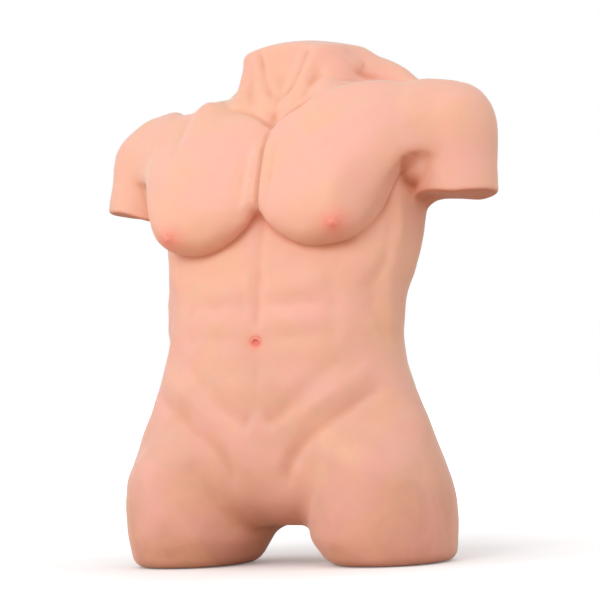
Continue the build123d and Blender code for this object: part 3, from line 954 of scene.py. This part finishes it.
def form_masks(mesh, points):
    """Masks for painted shade: how hollow the skin is, and how far it faces down."""
    ends = np.zeros(len(mesh.edges) * 2, np.int32)
    mesh.edges.foreach_get("vertices", ends)
    links = both_ways(ends.reshape(-1, 2))
    normals = read_vertices(mesh, "normal")
    centre = neighbour_centre(links, points)
    squares = (points ** 2).sum(1)
    spread = neighbour_mean(links, squares) - 2 * (centre * points).sum(1) + squares
    length = np.sqrt(np.maximum(spread, 1e-6))
    # mask of painted shade in the creases, from the curvature
    # about the curvature, 1/mm
    crease_shade = ((centre - points) * normals).sum(1) / np.maximum(length, 0.3) ** 2 * 2.0
    crease_shade = np.clip(crease_shade, -0.25, 0.25)
    for _ in range(14):
        crease_shade = 0.5 * crease_shade + 0.5 * neighbour_mean(links, crease_shade)
    # mask of painted shade where the surface faces down, strongest on the arms
    underside_shade = (rise(-normals[:, 2], 0.25, 0.85) * rise(points[:, 2], 14, 30)
             * (0.25 + 0.75 * rise(np.abs(points[:, 0]), 135, 155)))
    return {"crease_shade": crease_shade, "underside_shade": underside_shade}


def build_skin():
    verts, quads = make_surface(body, (0, -125, -8), (252, 165, 608), SKIN_STEP, rounds=3,
                                mirrored=True)
    skin = new_mesh("body_skin", verts, quads)
    mesh = skin.data
    refine(mesh, NIPPLES + [NAVEL], radius=17.0, rounds=2)
    masks = shape_skin(mesh)
    # the cavity, turned inside out, joins the same piece
    verts, quads = make_surface(cavity_form, (-186, -90, 0), (186, 160, 590), CAVITY_STEP,
                                rounds=1)
    cavity = new_mesh("skin_cavity", verts, quads[:, ::-1])
    bm = bmesh.new()
    bm.from_mesh(mesh)
    bm.from_mesh(cavity.data)
    bm.to_mesh(mesh)
    bm.free()
    bpy.data.objects.remove(cavity)
    for name, values in masks.items():
        add_attribute(mesh, name, np.pad(values, (0, len(mesh.vertices) - len(values))))
    add_attribute(mesh, "rest", drawn_points(mesh) / 1000.0)
    shade_smooth(mesh)
    mesh.update()
    return skin


def build_foam():
    verts, quads = make_surface(foam_form, (-186, -90, 60), (186, 160, 520), FOAM_STEP, rounds=1)
    foam = new_mesh("foam_core", verts, quads)
    add_attribute(foam.data, "rest", drawn_points(foam.data) / 1000.0)
    return foam


skin = build_skin()
foam = build_foam()


# ---------------------------------------------------------------------------------------------
# Materials
# ---------------------------------------------------------------------------------------------
class Shader:
    """A material with one principled surface, and short ways to add nodes."""

    def __init__(self, name):
        self.material = bpy.data.materials.new(name)
        self.material.use_nodes = True
        self.tree = self.material.node_tree
        self.tree.nodes.clear()
        output = self.node("ShaderNodeOutputMaterial")
        self.principled = self.node("ShaderNodeBsdfPrincipled")
        self.feed(output.inputs["Surface"], self.principled.outputs[0])

    def node(self, kind, **props):
        node = self.tree.nodes.new(kind)
        for name, value in props.items():
            setattr(node, name, value)
        return node

    def feed(self, socket, value):
        """Links a socket or sets a value. Colours are given without alpha."""
        if isinstance(value, bpy.types.NodeSocket):
            self.tree.links.new(value, socket)
        elif socket.type == "RGBA":
            socket.default_value = (*value, 1.0)
        else:
            socket.default_value = value

    def attribute(self, name, output="Fac"):
        return self.node("ShaderNodeAttribute", attribute_name=name).outputs[output]

    def object_place(self):
        return self.node("ShaderNodeTexCoord").outputs["Object"]

    def noise(self, vector, scale, detail=4.0, roughness=0.55, distortion=0.0):
        node = self.node("ShaderNodeTexNoise")
        node.inputs["Scale"].default_value = scale
        node.inputs["Detail"].default_value = detail
        node.inputs["Roughness"].default_value = roughness
        node.inputs["Distortion"].default_value = distortion
        self.feed(node.inputs["Vector"], vector)
        return node.outputs["Fac"]

    def voronoi(self, vector, scale, feature="F1"):
        node = self.node("ShaderNodeTexVoronoi", feature=feature)
        node.inputs["Scale"].default_value = scale
        self.feed(node.inputs["Vector"], vector)
        return node.outputs[0]

    def ramp(self, value, stops):
        """stops are (position, colour)."""
        node = self.node("ShaderNodeValToRGB")
        elements = node.color_ramp.elements
        while len(elements) < len(stops):
            elements.new(0.5)
        for element, (position, colour) in zip(elements, stops):
            element.position = position
            element.color = (*colour, 1.0)
        self.feed(node.inputs[0], value)
        return node.outputs[0]

    def remap(self, value, source, target):
        """Takes the source range to the target range, clamped."""
        node = self.node("ShaderNodeMapRange", clamp=True)
        for i, bound in enumerate((*source, *target)):
            node.inputs[i + 1].default_value = bound
        self.feed(node.inputs[0], value)
        return node.outputs[0]

    def mix(self, share, first, second):
        node = self.node("ShaderNodeMix", data_type="RGBA", blend_type="MIX")
        for i, value in ((0, share), (6, first), (7, second)):
            self.feed(node.inputs[i], value)
        return node.outputs[2]

    def multiply(self, first, second):
        node = self.node("ShaderNodeMath", operation="MULTIPLY")
        self.feed(node.inputs[0], first)
        self.feed(node.inputs[1], second)
        return node.outputs[0]

    def bump(self, height, strength, distance, normal=None):
        node = self.node("ShaderNodeBump")
        node.inputs["Strength"].default_value = strength
        node.inputs["Distance"].default_value = distance
        self.feed(node.inputs["Height"], height)
        if normal is not None:
            self.feed(node.inputs["Normal"], normal)
        return node.outputs[0]

    def surface(self, **inputs):
        for name, value in inputs.items():
            self.feed(self.principled.inputs[name.replace("_", " ")], value)
        return self.material


def srgb(*channels):
    """Linear colour from display values of 0 to 255."""
    parts = [channel / 255.0 for channel in channels]
    return tuple(c / 12.92 if c <= 0.04045 else ((c + 0.055) / 1.055) ** 2.4 for c in parts)


def skin_tone(*channels):
    """A skin colour as seen in the studio light, turned into the rubber's own colour."""
    red, green, blue = srgb(*channels)
    return (red * 0.918, green, blue * 1.055)


# height from 0 at the floor to 1 at 0.6 m, colour: skin colour with painted shade, darker towards the floor
HEIGHT_SHADED_SKIN_TONES = [
    (0.0, skin_tone(224, 160, 133)), (0.2, skin_tone(236, 175, 148)),
    (0.30, skin_tone(238, 178, 151)), (0.55, skin_tone(246, 184, 156)),
    (0.75, skin_tone(252, 189, 162)), (1.0, skin_tone(250, 188, 162)),
]


def skin_material():
    mat = Shader("elastomer_skin")
    rest = mat.attribute("rest", "Vector")
    axes = mat.node("ShaderNodeSeparateXYZ")
    mat.feed(axes.inputs[0], rest)
    # skin colour by height, with painted shade darker towards the floor
    base = mat.ramp(mat.remap(axes.outputs[2], (0.0, 0.6), (0.0, 1.0)), HEIGHT_SHADED_SKIN_TONES)
    # patches of pinker and yellower rubber, then finer mottling
    noise = mat.noise(rest, scale=12.0, detail=3.0, roughness=0.5, distortion=0.5)
    pink = mat.remap(noise, (0.44, 0.64), (0.0, 0.50))
    base = mat.mix(pink, base, skin_tone(253, 184, 170))
    moved = mat.node("ShaderNodeVectorMath", operation="ADD")
    moved.inputs[1].default_value = (3.1, 1.7, 5.3)
    mat.feed(moved.inputs[0], rest)
    noise = mat.noise(moved.outputs[0], scale=15.0, distortion=0.6)
    yellow = mat.remap(noise, (0.46, 0.66), (0.0, 0.50))
    base = mat.mix(yellow, base, skin_tone(248, 190, 150))
    noise = mat.noise(rest, scale=70.0, detail=5.0, roughness=0.6, distortion=0.3)
    base = mat.mix(mat.remap(noise, (0.35, 0.7), (0.0, 0.22)), base, skin_tone(250, 178, 156))
    # painted shade: creases darkened towards a warm brown
    crease_shade = mat.remap(mat.attribute("crease_shade"), (0.006, 0.07), (0.0, 0.5))
    base = mat.mix(crease_shade, base, skin_tone(222, 130, 86))
    # painted sheen, paler and cooler where the surface turns away; painted shade, darker where it faces down
    turn = mat.node("ShaderNodeLayerWeight")
    turn.inputs[0].default_value = 0.25
    painted_sheen = mat.remap(turn.outputs["Facing"], (0.40, 0.92), (0.0, 0.7))
    base = mat.mix(painted_sheen, base, skin_tone(252, 210, 196))
    # painted shade on surfaces facing down
    underside_shade = mat.multiply(mat.attribute("underside_shade"), 0.7)
    base = mat.mix(underside_shade, base, skin_tone(206, 118, 82))
    # broken-up tints, the ridge one a painted highlight: mask, noise scale, detail, noise range, strength range,
    # colour
    for mask, scale, detail, source, target, colour in (
        ("ridge_highlight", 260.0, 3.0, (0.4, 0.65), (0.0, 0.5), (255, 208, 188)),
        ("areola", 240.0, 4.0, (0.3, 0.75), (0.6, 0.95), (255, 143, 126)),
        ("navel", 300.0, 3.0, (0.3, 0.75), (0.7, 1.0), (250, 130, 116)),
    ):
        value = mat.attribute(mask)
        noise = mat.noise(rest, scale=scale, detail=detail, roughness=0.6)
        tint = mat.multiply(value, mat.remap(noise, source, target))
        base = mat.mix(tint, base, skin_tone(*colour))
    roughness = mat.remap(mat.noise(rest, scale=30.0), (0.3, 0.7), (0.42, 0.54))
    # waves, pores, and a net of fine lines
    noise = mat.noise(rest, scale=60.0, detail=3.0, roughness=0.5)
    waves = mat.bump(noise, strength=0.10, distance=0.004)
    noise = mat.noise(rest, scale=1500.0, detail=3.0, roughness=0.6)
    pores = mat.bump(noise, strength=0.14, distance=0.0006, normal=waves)
    net = mat.voronoi(rest, scale=620.0, feature="DISTANCE_TO_EDGE")
    net = mat.remap(net, (0.0, 0.18), (0.0, 1.0))
    lines = mat.bump(net, strength=0.07, distance=0.0006, normal=pores)
    return mat.surface(
        Base_Color=base, Roughness=roughness, Normal=lines, Subsurface_Weight=0.55,
        Subsurface_Scale=0.0045, Subsurface_Radius=(1.0, 0.42, 0.25), Subsurface_Anisotropy=0.0,
        IOR=1.42, Specular_IOR_Level=0.38, Sheen_Weight=0.05, Sheen_Roughness=0.5)


def foam_material():
    mat = Shader("open_cell_foam")
    rest = mat.attribute("rest", "Vector")
    cells = mat.voronoi(rest, scale=700.0)
    tone = mat.ramp(mat.noise(rest, scale=24.0),
                    [(0.3, srgb(226, 206, 160)), (0.7, srgb(240, 226, 190))])
    # painted shade: the cell pits darker
    base = mat.mix(mat.remap(cells, (0.0, 0.5), (0.35, 0.0)), tone, srgb(188, 160, 112))
    return mat.surface(Base_Color=base, Roughness=0.95, Specular_IOR_Level=0.15, Sheen_Weight=0.2,
                       Normal=mat.bump(cells, strength=0.6, distance=0.0008))


def metal(name, colour, roughness, grain=(1.0, 1.0, 60.0), wear=0.15):
    """Streaked metal. grain is the streak scale along each axis, wear the depth of stains."""
    mat = Shader(name)
    place = mat.object_place()
    mapping = mat.node("ShaderNodeMapping")
    mapping.inputs["Scale"].default_value = grain
    mat.feed(mapping.inputs["Vector"], place)
    streak = mat.noise(mapping.outputs[0], scale=60.0, detail=6.0, roughness=0.65)
    stain = mat.noise(place, scale=22.0, detail=5.0, roughness=0.6, distortion=0.5)
    dark = tuple(channel * 0.72 for channel in colour)
    base = mat.mix(mat.remap(streak, (0.3, 0.75), (0.0, 0.5)), colour, dark)
    base = mat.mix(mat.remap(stain, (0.55, 0.8), (0.0, wear)), base, srgb(120, 98, 78))
    return mat.surface(
        Base_Color=base, Metallic=1.0,
        Roughness=mat.remap(streak, (0.3, 0.7), (roughness - 0.07, roughness + 0.1)),
        Normal=mat.bump(streak, strength=0.10, distance=0.0006))


def cast_iron():
    mat = Shader("cast_iron_fitting")
    place = mat.object_place()
    grit = mat.noise(place, scale=900.0, detail=5.0, roughness=0.65)
    base = mat.ramp(mat.noise(place, scale=40.0, detail=5.0, roughness=0.6),
                    [(0.3, srgb(52, 54, 58)), (0.75, srgb(84, 86, 90))])
    return mat.surface(Base_Color=base, Metallic=0.55,
                       Roughness=mat.remap(grit, (0.3, 0.7), (0.5, 0.68)),
                       Normal=mat.bump(grit, strength=0.45, distance=0.0008))


def rubber():
    mat = Shader("black_rubber_cap")
    grit = mat.noise(mat.object_place(), scale=420.0, detail=5.0, roughness=0.6)
    base = mat.ramp(grit, [(0.3, (0.008, 0.008, 0.009)), (0.8, (0.022, 0.022, 0.024))])
    return mat.surface(Base_Color=base, Roughness=mat.remap(grit, (0.3, 0.7), (0.62, 0.8)),
                       Normal=mat.bump(grit, strength=0.2, distance=0.0006),
                       Specular_IOR_Level=0.4)


FRAME_MATERIALS = {
    "steel_tube": metal("brushed_tube", colour=(0.56, 0.57, 0.60), roughness=0.34),
    "steel_plate": metal("rolled_plate", colour=(0.44, 0.45, 0.47), roughness=0.42,
                         grain=(30.0, 2.0, 2.0), wear=0.25),
    "cast_fitting": cast_iron(),
    "zinc_fastener": metal("zinc_plate", colour=(0.66, 0.67, 0.64), roughness=0.28,
                           grain=(8.0, 8.0, 8.0), wear=0.08),
    "spring_steel": metal("spring_steel_blued", colour=(0.22, 0.24, 0.30), roughness=0.30,
                          grain=(40.0, 4.0, 4.0), wear=0.1),
    "bronze_washer": metal("bronze", colour=(0.62, 0.40, 0.19), roughness=0.33,
                           grain=(4.0, 30.0, 30.0), wear=0.1),
    "black_rubber": rubber(),
}
slots = {part["node"]: part["material_slot"] for part in frame["record"]["subparts"]}
for name, obj in frame["nodes"].items():
    if slots[name] in FRAME_MATERIALS:
        obj.data.materials.clear()
        obj.data.materials.append(FRAME_MATERIALS[slots[name]])

skin.data.materials.append(skin_material())
foam.data.materials.append(foam_material())
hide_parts("skin_pelvis", "skin_waist", "skin_chest")
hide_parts("foam_core_pelvis", "foam_core_waist", "foam_core_chest")
for obj in (skin, foam):
    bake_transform(obj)

# ---------------------------------------------------------------------------------------------
# Floor, world, lights and camera, m
# ---------------------------------------------------------------------------------------------
FLOOR_RADIUS = 14.0
FLOOR_Z = -0.0006
WHITE = (1.0, 1.0, 1.0)
WORLD_STRENGTH = 0.679                        # as it lights the object
TARGET = Vector((0.0, 0.020 - SHIFT_Y, 0.300))
YAW, ELEVATION, ROLL = math.radians(25.1), math.radians(-1.0), math.radians(2.4)
CAMERA_DISTANCE = 3.4
VIEW_WIDTH = 0.6834                           # width seen at the target
VIEW_SHIFT = (0.0125, -0.00383333)            # parts of the view width
SENSOR_WIDTH = 36.0                           # mm
LIGHT_AIM = Vector((0, 0, 0.34))
# name, (camera's right, towards camera, up) from the target, size, watts
LIGHTS = [
    ("key", (-1.3, 2.4, 1.5), 1.6, 24.5),
    ("left", (-2.7, 0.7, 0.5), 1.6, 18.0),
    ("right", (2.5, 1.4, 1.5), 1.6, 10.5),
    ("right_front", (1.3, 2.8, 1.0), 1.8, 6.2),
    ("top", (0.2, 1.8, 2.4), 1.8, 3.8),
]


def floor_material():
    """Seen by the camera it has a painted glow that lifts it towards white away from the object; other rays see it
    plain, without the glow.
    """
    mat = Shader("pale_floor_with_painted_glow")
    place = mat.node("ShaderNodeNewGeometry").outputs["Position"]
    away = mat.node("ShaderNodeVectorMath", operation="LENGTH")
    mat.feed(away.inputs[0], place)
    camera_ray = mat.node("ShaderNodeLightPath").outputs["Is Camera Ray"]
    # painted light: a glow for camera rays only, brighter away from the object
    painted_glow = mat.remap(away.outputs["Value"], (0.2, 1.1), (0.16, 0.75))
    painted_glow = mat.multiply(painted_glow, camera_ray)
    grain = mat.remap(mat.noise(place, scale=9.0, detail=3.0), (0.3, 0.7), (0.88, 0.92))
    tone = mat.node("ShaderNodeCombineColor")
    for i in range(3):
        mat.feed(tone.inputs[i], grain)
    base = mat.mix(camera_ray, (0.60, 0.45, 0.36), tone.outputs[0])
    return mat.surface(Base_Color=base, Roughness=0.75, Specular_IOR_Level=0.1,
                       Emission_Color=WHITE, Emission_Strength=painted_glow)


def add_floor():
    bm = bmesh.new()
    bmesh.ops.create_circle(bm, cap_ends=True, cap_tris=False, segments=96, radius=FLOOR_RADIUS)
    mesh = bpy.data.meshes.new("studio_floor")
    bm.to_mesh(mesh)
    bm.free()
    floor = bpy.data.objects.new("studio_floor", mesh)
    floor.location = (0, 0, FLOOR_Z)
    bpy.context.scene.collection.objects.link(floor)
    mesh.materials.append(floor_material())


def add_world():
    """White to the camera, dimmer as a light."""
    world = bpy.data.worlds.new("studio")
    bpy.context.scene.world = world
    world.use_nodes = True
    nodes, links = world.node_tree.nodes, world.node_tree.links
    nodes.clear()
    output = nodes.new("ShaderNodeOutputWorld")
    seen, lit = (nodes.new("ShaderNodeBackground") for _ in range(2))
    for background, strength in ((seen, 1.0), (lit, WORLD_STRENGTH)):
        background.inputs[0].default_value = (*WHITE, 1.0)
        background.inputs[1].default_value = strength
    ray = nodes.new("ShaderNodeLightPath")
    mixer = nodes.new("ShaderNodeMixShader")
    links.new(ray.outputs["Is Camera Ray"], mixer.inputs[0])
    links.new(lit.outputs[0], mixer.inputs[1])
    links.new(seen.outputs[0], mixer.inputs[2])
    links.new(mixer.outputs[0], output.inputs["Surface"])


def add_light(name, offset, size, power):
    light = bpy.data.lights.new(name, "AREA")
    light.shape = "DISK"
    light.size = size
    light.energy = power
    obj = bpy.data.objects.new(name, light)
    obj.location = (TARGET + right * offset[0] - forward * offset[1]
                    + Vector((0, 0, 1)) * offset[2])
    obj.rotation_euler = (LIGHT_AIM - obj.location).to_track_quat("-Z", "Y").to_euler()
    bpy.context.scene.collection.objects.link(obj)


def add_camera():
    data = bpy.data.cameras.new("camera")
    data.sensor_width = SENSOR_WIDTH
    data.lens = SENSOR_WIDTH * CAMERA_DISTANCE / VIEW_WIDTH
    data.shift_x, data.shift_y = VIEW_SHIFT
    data.clip_end = 60.0
    camera = bpy.data.objects.new("camera", data)
    up = right.cross(forward)
    across = right * math.cos(ROLL) - up * math.sin(ROLL)
    upward = right * math.sin(ROLL) + up * math.cos(ROLL)
    camera.matrix_world = Matrix((across, upward, -forward)).transposed().to_4x4()
    camera.location = TARGET - forward * CAMERA_DISTANCE
    bpy.context.scene.collection.objects.link(camera)
    bpy.context.scene.camera = camera


forward = Vector((-math.sin(YAW) * math.cos(ELEVATION), math.cos(YAW) * math.cos(ELEVATION),
                  -math.sin(ELEVATION)))
right = Vector((math.cos(YAW), math.sin(YAW), 0.0))

add_floor()
add_world()
for spec in LIGHTS:
    add_light(*spec)
add_camera()
bpy.context.scene.view_settings.view_transform = "Standard"
bpy.context.scene.view_settings.look = "None"
